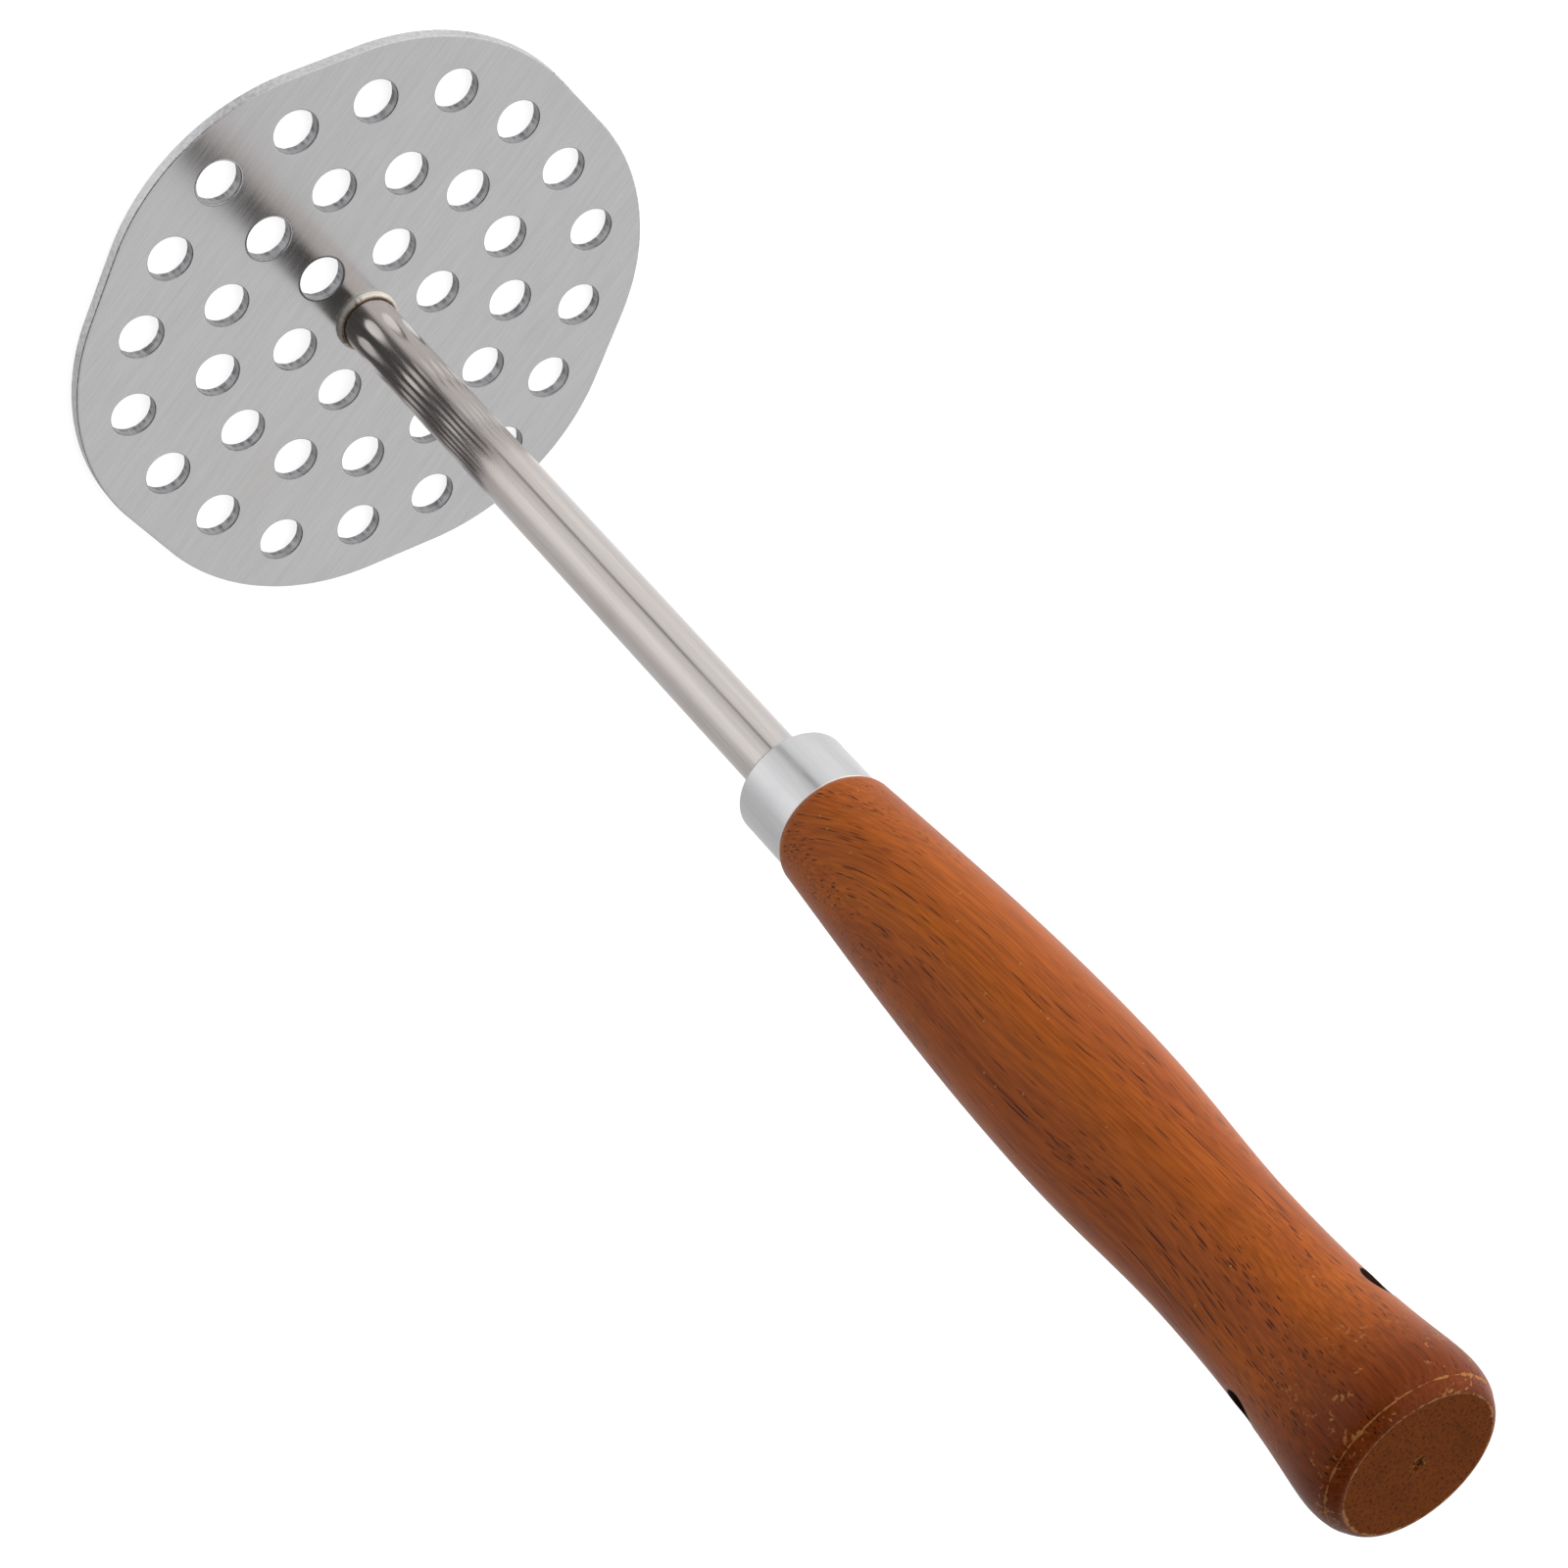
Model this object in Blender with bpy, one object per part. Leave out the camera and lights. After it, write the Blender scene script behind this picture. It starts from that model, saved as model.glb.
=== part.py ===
"""Hand potato masher: a punched steel plate on a steel tube that is set in a turned wooden handle.

Blender 4.5, metres, +Z up. The origin is the centre of the plate's working face, the face that presses
on the food, and +Z runs up the tube to the butt of the handle. The hanging hole runs along X.
"""

import math

import bmesh
import bpy
from mathutils import Matrix, Vector
from mathutils.geometry import interpolate_bezier

MM = 0.001

# ---- Fits and facets -----------------------------------------------------------------------------
GAP = 0.3 * MM                        # left between two pieces that touch on the real object
TURN_STEPS = 48                       # facets round a turned piece
HOLE_STEPS = 24                       # facets round a punched hole
CORNER_STEPS = 10                     # facets round one corner of the plate
ROUND_STEPS = 4                       # facets round a small rounded edge
CURVE_POINTS = 9                      # points along one stretch of the handle's curve
SMOOTH_UP_TO = math.radians(30)       # edges flatter than this are shaded smooth
CUT_EXTRA = 1.0 * MM                  # how far a cutter runs past the face it cuts

# ---- Plate ---------------------------------------------------------------------------------------
PLATE_SIDES = 6
PLATE_ACROSS_FLATS = 104.0 * MM
PLATE_CORNER_RADIUS = 41.0 * MM
PLATE_THICKNESS = 2.2 * MM
PLATE_EDGE_BREAK = 0.25 * MM          # deburred edge round the rim
PLATE_TURN = math.radians(33.4)       # from X to the first corner

HOLE_DIAMETER = 8.0 * MM
RIM_LAND = 5.5 * MM                   # steel left between the outer holes and the flats
CORNER_HOLE_SHIFT = 1.4 * MM          # the six holes at the corners sit this much further out
INNER_RING_RADIUS = 13.7 * MM
INNER_RING_HOLES = 6
MIDDLE_RING_HOLES = 13
MIDDLE_RING_FLAT = 4                  # a hole of this ring faces the flat that follows this corner
OUTER_RING_HOLES = 18

# ---- Tube and weld -------------------------------------------------------------------------------
TUBE_DIAMETER = 9.7 * MM
TUBE_WALL = 1.0 * MM
TUBE_IN_SIGHT = 138.3 * MM            # from the plate to the front of the ferrule
TUBE_IN_HANDLE = 55.0 * MM            # from the front of the ferrule to the tube's hidden end
WELD_WIDTH = 0.6 * MM
WELD_HEIGHT = 0.9 * MM

# ---- Ferrule -------------------------------------------------------------------------------------
FERRULE_DIAMETER = 18.6 * MM
FERRULE_LENGTH = 12.0 * MM
FERRULE_WALL = 0.8 * MM
FERRULE_EDGE_RADIUS = 0.7 * MM

# ---- Handle: distances along the wood run from its shoulder, which sits behind the ferrule ----------
HANDLE_LENGTH = 142.2 * MM            # from the shoulder to the butt
SHOULDER_STEP = 0.15 * MM             # the wood stands this much proud of the ferrule
SHOULDER_ROUND = 2.0 * MM             # length of the rounded start of the wood
NECK_DIAMETER = 20.1 * MM
NECK_FLARE = 0.075                    # how steeply the neck opens towards the belly
BELLY_DIAMETER = 26.6 * MM
BELLY_FROM_SHOULDER = 66.0 * MM
WAIST_DIAMETER = 23.8 * MM
WAIST_FROM_BUTT = 41.3 * MM
BULB_DIAMETER = 28.6 * MM
BULB_FROM_BUTT = 5.8 * MM
BUTT_CHAMFER_WIDTH = 1.6 * MM
BUTT_CHAMFER_LENGTH = 1.8 * MM
BUTT_FACE_DIAMETER = 23.8 * MM
BORE_RUN_OUT = 3.0 * MM               # bore left empty past the end of the tube

# The turned curve holds its slope for a while at each end of a stretch. Each of these is that
# distance as a share of the stretch, towards the plate (front) or towards the butt (back).
NECK_HOLD_BACK = 0.33
BELLY_HOLD_FRONT = 0.37
BELLY_HOLD_BACK = 0.43
WAIST_HOLD_FRONT = 0.34
WAIST_HOLD_BACK = 0.68
BULB_HOLD_FRONT = 0.14
BULB_HOLD_BACK = 0.45
BAND_HOLD_FRONT = 0.15
BAND_SLOPE = -0.73                    # how steeply the bulb closes where it meets the chamfer

HANG_HOLE_DIAMETER = 5.8 * MM
HANG_HOLE_FROM_BUTT = 22.3 * MM
HANG_HOLE_OFF_CENTRE = 2.2 * MM       # drilled to one side of the handle's axis, towards -Y
HANG_HOLE_ROUND = 0.5 * MM            # sanded mouth of the hole

# ---- Worked out from the values above --------------------------------------------------------------
PLATE_TOP = PLATE_THICKNESS
FERRULE_FRONT = PLATE_TOP + TUBE_IN_SIGHT
FERRULE_BACK = FERRULE_FRONT + FERRULE_LENGTH
SHOULDER = FERRULE_BACK + GAP
BUTT = SHOULDER + HANDLE_LENGTH
TENON_FRONT = FERRULE_FRONT + FERRULE_WALL + GAP
TUBE_END = FERRULE_FRONT + TUBE_IN_HANDLE
BORE_END = TUBE_END + BORE_RUN_OUT
TENON_RADIUS = FERRULE_DIAMETER / 2 - FERRULE_WALL - GAP
BORE_RADIUS = TUBE_DIAMETER / 2 + GAP
OUTER_RING_RADIUS = PLATE_ACROSS_FLATS / 2 - RIM_LAND - HOLE_DIAMETER / 2
MIDDLE_RING_RADIUS = (INNER_RING_RADIUS + OUTER_RING_RADIUS) / 2


def clear_scene():
    for obj in list(bpy.data.objects):
        bpy.data.objects.remove(obj, do_unlink=True)


def material(name, colour, roughness, metallic):
    """A Principled material in one colour."""
    mat = bpy.data.materials.new(name)
    mat.use_nodes = True
    shader = mat.node_tree.nodes["Principled BSDF"]
    shader.inputs["Base Color"].default_value = (*colour, 1.0)
    shader.inputs["Roughness"].default_value = roughness
    shader.inputs["Metallic"].default_value = metallic
    return mat


def add_piece(name, mesh, mat, parent):
    """A sub-part of the masher, shaded smooth except across its real edges."""
    mesh.materials.append(mat)
    mesh.shade_smooth()
    mesh.set_sharp_from_angle(angle=SMOOTH_UP_TO)
    piece = bpy.data.objects.new(name, mesh)
    piece.parent = parent
    bpy.context.scene.collection.objects.link(piece)
    return piece


def add_cutter(name, mesh, parent):
    """A shape that only cuts others."""
    cutter = bpy.data.objects.new(name, mesh)
    cutter.parent = parent
    cutter.hide_render = True
    cutter.display_type = "WIRE"
    bpy.context.scene.collection.objects.link(cutter)
    return cutter


def cut(piece, cutter, name):
    boolean = piece.modifiers.new(name, "BOOLEAN")
    boolean.operation = "DIFFERENCE"
    boolean.solver = "EXACT"
    boolean.object = cutter


def turned(name, outline, closed):
    """The mesh that a lathe makes: outline is (radius, height) points, spun round Z."""
    bm = bmesh.new()
    points = [bm.verts.new((radius, 0.0, height)) for radius, height in outline]
    edges = [bm.edges.new(pair) for pair in zip(points, points[1:])]
    if closed:
        edges.append(bm.edges.new((points[-1], points[0])))
    bmesh.ops.spin(
        bm,
        geom=points + edges,
        cent=(0.0, 0.0, 0.0),
        axis=(0.0, 0.0, 1.0),
        angle=2 * math.pi,
        steps=TURN_STEPS,
        use_merge=True,
    )
    bmesh.ops.remove_doubles(bm, verts=bm.verts, dist=0.001 * MM)
    bmesh.ops.recalc_face_normals(bm, faces=bm.faces)
    mesh = bpy.data.meshes.new(name)
    bm.to_mesh(mesh)
    bm.free()
    return mesh


def rounded(centre, across, along, first, last):
    """Points round a small edge in the (radius, height) plane, from angle first to angle last."""
    angles = [first + (last - first) * step / ROUND_STEPS for step in range(ROUND_STEPS + 1)]
    return [
        (centre[0] + across * math.cos(angle), centre[1] + along * math.sin(angle))
        for angle in angles
    ]


# ---- Plate ---------------------------------------------------------------------------------------
def plate_outline():
    """Flat-sided outline with wide round corners, anticlockwise from above."""
    half_side = math.pi / PLATE_SIDES
    to_centre = (PLATE_ACROSS_FLATS / 2 - PLATE_CORNER_RADIUS) / math.cos(half_side)
    points = []
    for corner in range(PLATE_SIDES):
        facing = PLATE_TURN + 2 * half_side * corner
        centre = Vector((math.cos(facing), math.sin(facing))) * to_centre
        for step in range(CORNER_STEPS + 1):
            angle = facing + half_side * (2 * step / CORNER_STEPS - 1)
            points.append(centre + Vector((math.cos(angle), math.sin(angle))) * PLATE_CORNER_RADIUS)
    return points


def hole_centres():
    """Three rings of holes. The inner and outer rings line up with the plate's corners."""
    to_flat = 2 * math.pi * (MIDDLE_RING_FLAT + 0.5) / PLATE_SIDES
    centres = []
    for index in range(INNER_RING_HOLES):
        angle = PLATE_TURN + 2 * math.pi * index / INNER_RING_HOLES
        centres.append((INNER_RING_RADIUS, angle))
    for index in range(MIDDLE_RING_HOLES):
        angle = PLATE_TURN + to_flat + 2 * math.pi * index / MIDDLE_RING_HOLES
        centres.append((MIDDLE_RING_RADIUS, angle))
    for index in range(OUTER_RING_HOLES):
        at_corner = index % (OUTER_RING_HOLES // PLATE_SIDES) == 0
        radius = OUTER_RING_RADIUS + (CORNER_HOLE_SHIFT if at_corner else 0.0)
        angle = PLATE_TURN + 2 * math.pi * index / OUTER_RING_HOLES
        centres.append((radius, angle))
    return [(radius * math.cos(angle), radius * math.sin(angle)) for radius, angle in centres]


def build_plate(parent):
    bm = bmesh.new()
    floor = bm.faces.new([bm.verts.new((x, y, 0.0)) for x, y in plate_outline()])
    raised = bmesh.ops.extrude_face_region(bm, geom=[floor])["geom"]
    lifted = [item for item in raised if isinstance(item, bmesh.types.BMVert)]
    bmesh.ops.translate(bm, verts=lifted, vec=(0.0, 0.0, PLATE_THICKNESS))
    bmesh.ops.recalc_face_normals(bm, faces=bm.faces)
    mesh = bpy.data.meshes.new("plate")
    bm.to_mesh(mesh)
    bm.free()
    steel = material("brushed_stainless", (0.60, 0.59, 0.58), 0.35, 1.0)
    plate = add_piece("plate", mesh, steel, parent)

    edge_break = plate.modifiers.new("deburred rim", "BEVEL")
    edge_break.width = PLATE_EDGE_BREAK
    edge_break.segments = 1
    edge_break.limit_method = "ANGLE"
    edge_break.angle_limit = math.radians(60)

    punches = bmesh.new()
    depth = PLATE_THICKNESS + 2 * CUT_EXTRA
    for x, y in hole_centres():
        bmesh.ops.create_cone(
            punches,
            cap_ends=True,
            segments=HOLE_STEPS,
            radius1=HOLE_DIAMETER / 2,
            radius2=HOLE_DIAMETER / 2,
            depth=depth,
            matrix=Matrix.Translation((x, y, PLATE_THICKNESS / 2)),
        )
    punch_mesh = bpy.data.meshes.new("hole_punches")
    punches.to_mesh(punch_mesh)
    punches.free()
    cut(plate, add_cutter("hole_punches", punch_mesh, parent), "punched holes")
    return plate


# ---- Tube and weld -------------------------------------------------------------------------------
def build_tube(parent):
    outer = TUBE_DIAMETER / 2
    inner = outer - TUBE_WALL
    foot = PLATE_TOP + GAP
    outline = [(outer, TUBE_END), (outer, foot), (inner, foot), (inner, TUBE_END)]
    steel = material("satin_stainless_tube", (0.58, 0.55, 0.52), 0.3, 1.0)
    return add_piece("shaft_tube", turned("shaft_tube", outline, True), steel, parent)


def build_weld(parent):
    """A thin ring of weld metal in the corner between the plate and the tube."""
    inner = TUBE_DIAMETER / 2 + GAP
    foot = PLATE_TOP + GAP
    outline = [(inner, foot)] + rounded((inner, foot), WELD_WIDTH, WELD_HEIGHT, 0.0, math.pi / 2)
    straw = material("heat_tinted_weld", (0.62, 0.52, 0.38), 0.3, 1.0)
    return add_piece("weld_bead", turned("weld_bead", outline, True), straw, parent)


# ---- Ferrule -------------------------------------------------------------------------------------
def build_ferrule(parent):
    """A drawn cup with a hole for the tube in its front, pushed over the handle's tenon."""
    outer = FERRULE_DIAMETER / 2
    inner = outer - FERRULE_WALL
    hole = TUBE_DIAMETER / 2 + GAP
    edge_centre = (outer - FERRULE_EDGE_RADIUS, FERRULE_FRONT + FERRULE_EDGE_RADIUS)
    edge = rounded(edge_centre, FERRULE_EDGE_RADIUS, FERRULE_EDGE_RADIUS, 0.0, -math.pi / 2)
    outline = [(outer, FERRULE_BACK)] + edge
    outline += [(hole, FERRULE_FRONT), (hole, FERRULE_FRONT + FERRULE_WALL)]
    outline += [(inner, FERRULE_FRONT + FERRULE_WALL), (inner, FERRULE_BACK)]
    metal = material("satin_aluminium", (0.78, 0.79, 0.80), 0.28, 1.0)
    return add_piece("ferrule", turned("ferrule", outline, True), metal, parent)


# ---- Handle --------------------------------------------------------------------------------------
def swept_curve(start, end, hold_start, hold_end, start_slope=0.0, end_slope=0.0):
    """One stretch of the turned curve, which leaves start and reaches end at the given slopes."""
    length = end[1] - start[1]
    after_start = (start[0] + start_slope * hold_start * length, start[1] + hold_start * length)
    before_end = (end[0] - end_slope * hold_end * length, end[1] - hold_end * length)
    corners = [Vector((*point, 0.0)) for point in (start, after_start, before_end, end)]
    return [(point.x, point.y) for point in interpolate_bezier(*corners, CURVE_POINTS)]


def handle_curve():
    """Outside of the wood from its shoulder to the edge of the butt, as (radius, height) points."""
    lip = FERRULE_DIAMETER / 2 + SHOULDER_STEP
    neck = (NECK_DIAMETER / 2, SHOULDER + SHOULDER_ROUND)
    belly = (BELLY_DIAMETER / 2, SHOULDER + BELLY_FROM_SHOULDER)
    waist = (WAIST_DIAMETER / 2, BUTT - WAIST_FROM_BUTT)
    bulb = (BULB_DIAMETER / 2, BUTT - BULB_FROM_BUTT)
    band = (BUTT_FACE_DIAMETER / 2 + BUTT_CHAMFER_WIDTH, BUTT - BUTT_CHAMFER_LENGTH)

    curve = rounded((lip, neck[1]), neck[0] - lip, SHOULDER_ROUND, -math.pi / 2, 0.0)
    curve += swept_curve(neck, belly, NECK_HOLD_BACK, BELLY_HOLD_FRONT, start_slope=NECK_FLARE)[1:]
    curve += swept_curve(belly, waist, BELLY_HOLD_BACK, WAIST_HOLD_FRONT)[1:]
    curve += swept_curve(waist, bulb, WAIST_HOLD_BACK, BULB_HOLD_FRONT)[1:]
    curve += swept_curve(bulb, band, BULB_HOLD_BACK, BAND_HOLD_FRONT, end_slope=BAND_SLOPE)[1:]
    return curve


def radius_of_wood(height):
    """Radius of the handle's outside at a height above the plate's working face."""
    curve = handle_curve()
    for low, high in zip(curve, curve[1:]):
        if low[1] <= height <= high[1]:
            share = (height - low[1]) / (high[1] - low[1])
            return low[0] + share * (high[0] - low[0])
    return curve[-1][0]


def build_handle(parent):
    outline = [(0.0, BORE_END), (BORE_RADIUS, BORE_END), (BORE_RADIUS, TENON_FRONT)]
    outline += [(TENON_RADIUS, TENON_FRONT), (TENON_RADIUS, SHOULDER)]
    outline += handle_curve()
    outline += [(BUTT_FACE_DIAMETER / 2, BUTT), (0.0, BUTT)]
    wood = material("stained_hardwood", (0.33, 0.10, 0.03), 0.4, 0.0)
    handle = add_piece("handle", turned("handle", outline, False), wood, parent)

    hole = HANG_HOLE_DIAMETER / 2
    at_hole = BUTT - HANG_HOLE_FROM_BUTT
    mouth = math.sqrt(radius_of_wood(at_hole) ** 2 - HANG_HOLE_OFF_CENTRE ** 2)
    reach = mouth + CUT_EXTRA
    flare = [(hole + HANG_HOLE_ROUND + CUT_EXTRA, reach), (hole, mouth - HANG_HOLE_ROUND)]
    other_end = [(radius, -height) for radius, height in reversed(flare)]
    drill = [(0.0, reach)] + flare + other_end + [(0.0, -reach)]
    cutter = add_cutter("hang_hole_drill", turned("hang_hole_drill", drill, False), parent)
    cutter.location = (0.0, -HANG_HOLE_OFF_CENTRE, at_hole)
    cutter.rotation_euler = (0.0, math.pi / 2, 0.0)
    cut(handle, cutter, "hanging hole")
    return handle


clear_scene()
masher = bpy.data.objects.new("masher", None)
bpy.context.scene.collection.objects.link(masher)
build_plate(masher)
build_tube(masher)
build_weld(masher)
build_ferrule(masher)
build_handle(masher)
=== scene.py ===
import math

import bmesh
import bpy
from mathutils import Matrix, Vector, noise
from mathutils.geometry import interpolate_bezier


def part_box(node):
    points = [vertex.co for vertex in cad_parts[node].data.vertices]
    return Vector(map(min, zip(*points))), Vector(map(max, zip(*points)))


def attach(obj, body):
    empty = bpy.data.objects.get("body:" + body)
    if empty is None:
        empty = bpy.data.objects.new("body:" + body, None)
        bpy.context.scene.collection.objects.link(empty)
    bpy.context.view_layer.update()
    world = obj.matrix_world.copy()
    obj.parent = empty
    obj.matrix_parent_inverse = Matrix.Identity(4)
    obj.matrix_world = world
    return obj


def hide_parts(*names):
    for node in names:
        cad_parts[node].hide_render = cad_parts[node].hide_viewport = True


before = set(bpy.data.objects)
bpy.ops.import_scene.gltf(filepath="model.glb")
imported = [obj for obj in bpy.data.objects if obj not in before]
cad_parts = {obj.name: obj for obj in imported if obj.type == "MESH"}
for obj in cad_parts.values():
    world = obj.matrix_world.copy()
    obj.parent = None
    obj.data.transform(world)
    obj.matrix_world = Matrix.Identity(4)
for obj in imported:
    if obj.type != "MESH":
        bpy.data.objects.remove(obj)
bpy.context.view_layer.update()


# ---- Punched plate -------------------------------------------------------------------------------
# Flat stainless sheet cut as a hexagon with wide round corners. Its faces are brushed in one
# direction, its rim is ground by hand, and the punch has left the walls of its holes torn.
MM = 0.001
PLATE_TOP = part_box("plate")[1].z
PLATE_ACROSS_FLATS = 104.0 * MM
PLATE_CORNER_RADIUS = 41.0 * MM
PLATE_TURN = math.radians(33.4)       # from X to the first corner
PLATE_SIDES = 6
CORNER_STEPS = 84                     # about half a millimetre each
FLAT_STEPS = 25
HOLE_RADIUS = 4.0 * MM
HOLE_STEPS = 56
RIM_LAND = 5.5 * MM                   # steel between the outer holes and the flats
INNER_HOLES = 6
MIDDLE_HOLES = 13
OUTER_HOLES = 18
INNER_RING = 13.7 * MM
CORNER_HOLE_SHIFT = 1.4 * MM          # outwards, for the outer holes that face a corner
OUTER_RING = PLATE_ACROSS_FLATS / 2 - RIM_LAND - HOLE_RADIUS
MIDDLE_RING = (INNER_RING + OUTER_RING) / 2
MIDDLE_RING_TURN = PLATE_TURN + math.radians(270.0)
BRUSH_TURN = math.radians(14.5)       # from X to the brush lines
BRUSH_PATCH = 200.0 * MM              # side of the square that the brush lines are laid out on
FILING_SIZE = 0.8 * MM                # from one filing mark of the rim to the next
TEAR_SIZE = 0.7 * MM                  # from one tear of a hole's edge to the next
FACE, RIM, HOLE_WALL = range(3)       # the plate's three finishes
RIM_PROFILE = [                       # (inset, height, depth of the filing marks)
    (0.55 * MM, 0.0, 0.0),
    (0.20 * MM, 0.0, 0.02 * MM),
    (0.06 * MM, 0.06 * MM, 0.05 * MM),
    (0.0, 0.22 * MM, 0.03 * MM),
    (0.0, PLATE_TOP / 2, 0.03 * MM),
    (0.0, PLATE_TOP - 0.22 * MM, 0.04 * MM),
    (0.06 * MM, PLATE_TOP - 0.06 * MM, 0.10 * MM),
    (0.20 * MM, PLATE_TOP, 0.22 * MM),
    (0.75 * MM, PLATE_TOP, 0.0),
]
HOLE_PROFILE = [                      # (how much wider, height, depth of the tears)
    (0.55 * MM, 0.0, 0.0),
    (0.16 * MM, 0.0, 0.06 * MM),
    (0.07 * MM, 0.06 * MM, 0.14 * MM),
    (0.04 * MM, 0.45 * MM, 0.10 * MM),
    (0.02 * MM, 0.9 * MM, 0.08 * MM),
    (0.0, PLATE_TOP - 0.5 * MM, 0.02 * MM),
    (0.0, PLATE_TOP - 0.16 * MM, 0.0),
    (0.05 * MM, PLATE_TOP - 0.05 * MM, 0.01 * MM),
    (0.16 * MM, PLATE_TOP, 0.02 * MM),
    (0.45 * MM, PLATE_TOP, 0.0),
]


def polar(radius, angle):
    """A flat point at a distance and direction from the middle."""
    return Vector((radius * math.cos(angle), radius * math.sin(angle)))


def rim_line(inset):
    """Points round the plate, a distance inside its edge."""
    to_centre = (PLATE_ACROSS_FLATS / 2 - PLATE_CORNER_RADIUS) / math.cos(math.pi / PLATE_SIDES)
    side = 2 * math.pi / PLATE_SIDES
    points = []
    for corner in range(PLATE_SIDES):
        facing = PLATE_TURN + side * corner
        centre = polar(to_centre, facing)
        for step in range(CORNER_STEPS + 1):
            angle = facing + side * (step / CORNER_STEPS - 0.5)
            points.append(centre + polar(PLATE_CORNER_RADIUS - inset, angle))
        along_flat = polar(to_centre, facing + side) - centre
        for step in range(1, FLAT_STEPS):
            points.append(points[-step] + along_flat * step / FLAT_STEPS)
    return points


def hole_line(centre, radius):
    """Points round a hole."""
    turns = [2 * math.pi * step / HOLE_STEPS for step in range(HOLE_STEPS)]
    return [centre + polar(radius, turn) for turn in turns]


def punched_holes():
    """Centres of the three rings of holes. The middle ring starts facing a flat of the plate."""
    turn = 2 * math.pi
    centres = [polar(INNER_RING, PLATE_TURN + turn * k / INNER_HOLES) for k in range(INNER_HOLES)]
    for k in range(MIDDLE_HOLES):
        centres.append(polar(MIDDLE_RING, MIDDLE_RING_TURN + turn * k / MIDDLE_HOLES))
    for k in range(OUTER_HOLES):
        at_corner = k % (OUTER_HOLES // PLATE_SIDES) == 0
        radius = OUTER_RING + (CORNER_HOLE_SHIFT if at_corner else 0.0)
        centres.append(polar(radius, PLATE_TURN + turn * k / OUTER_HOLES))
    return centres


def add_ring(bm, points, height):
    """Vertices at flat points, all at one height."""
    return [bm.verts.new((point.x, point.y, height)) for point in points]


def bridge(bm, first, second, finish=0):
    """A strip of faces between two rings with as many points."""
    for k in range(len(first)):
        k_next = (k + 1) % len(first)
        face = bm.faces.new((first[k], first[k_next], second[k_next], second[k]))
        face.material_index = finish
        face.smooth = True


def torn(point, height, size, depth):
    """How far a torn or filed edge wanders in from its true line at a place."""
    place = Vector((point.x, point.y, height)) / size
    dent = noise.noise(place)
    return depth * (0.35 * dent + max(0.0, noise.noise(place * 0.6) - 0.25))


def fill_between(bm, outer, holes, finish):
    """Covers the flat face between one ring and the rings of its holes."""
    edges = []
    for ring in [outer, *holes]:
        edges += [bm.edges.get((ring[k - 1], ring[k])) for k in range(len(ring))]
    filled = bmesh.ops.triangle_fill(bm, use_beauty=True, edges=edges)["geom"]
    for face in filled:
        if isinstance(face, bmesh.types.BMFace):
            face.material_index = finish
            face.smooth = True


def build_rim(bm):
    """The filed rim, with a strip of each flat face. Returns its lowest and highest rings."""
    rings = []
    for inset, height, depth in RIM_PROFILE:
        line = rim_line(inset)
        pulls = [1.0 - max(0.0, torn(point, height, FILING_SIZE, depth)) / point.length for point in line]
        rings.append(add_ring(bm, [point * pull for point, pull in zip(line, pulls)], height))
    for row, (first, second) in enumerate(zip(rings, rings[1:])):
        flat = row in (0, len(rings) - 2)
        bridge(bm, first, second, FACE if flat else RIM)
    return rings[0], rings[-1]


def build_hole(bm, centre):
    """A punched hole's wall, with a strip of each flat face. Returns its lowest and highest rings."""
    rings = []
    for wider, height, depth in HOLE_PROFILE:
        points = []
        for point in hole_line(centre, HOLE_RADIUS + wider):
            outward = (point - centre).normalized()
            points.append(point + outward * torn(point, height, TEAR_SIZE, depth))
        rings.append(add_ring(bm, points, height))
    for row, (first, second) in enumerate(zip(rings, rings[1:])):
        flat = row in (0, len(rings) - 2)
        bridge(bm, second, first, FACE if flat else HOLE_WALL)
    return rings[0], rings[-1]


def lay_out_brushing(bm):
    """A flat layout with one side along the brush lines, which gives their direction."""
    brush = bm.loops.layers.uv.new("brush_direction")
    along = polar(1.0, BRUSH_TURN)
    across = polar(1.0, BRUSH_TURN + math.pi / 2)
    for face in bm.faces:
        for loop in face.loops:
            place = loop.vert.co.xy
            loop[brush].uv = (place.dot(along) / BRUSH_PATCH + 0.5, place.dot(across) / BRUSH_PATCH + 0.5)


def build_plate():
    """The whole plate: its rim, its holes, and the flat faces between them."""
    bm = bmesh.new()
    low_rim, high_rim = build_rim(bm)
    low_holes, high_holes = zip(*[build_hole(bm, centre) for centre in punched_holes()])
    fill_between(bm, low_rim, low_holes, FACE)
    fill_between(bm, high_rim, high_holes, FACE)
    bmesh.ops.recalc_face_normals(bm, faces=bm.faces)
    lay_out_brushing(bm)
    mesh = bpy.data.meshes.new("punched_plate")
    bm.to_mesh(mesh)
    bm.free()
    return mesh


def add_piece(name, mesh, *finishes):
    """Puts a mesh in the scene with its finishes."""
    for finish in finishes:
        mesh.materials.append(finish)
    piece = bpy.data.objects.new(name, mesh)
    bpy.context.scene.collection.objects.link(piece)
    return piece


def new_finish(name, colour, metallic, roughness):
    """A material in one colour, ready for its detail. Returns it with its node tree and shader."""
    finish = bpy.data.materials.new(name)
    finish.use_nodes = True
    shader = finish.node_tree.nodes["Principled BSDF"]
    shader.inputs["Base Color"].default_value = (*colour, 1.0)
    shader.inputs["Metallic"].default_value = metallic
    shader.inputs["Roughness"].default_value = roughness
    return finish, finish.node_tree, shader


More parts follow.
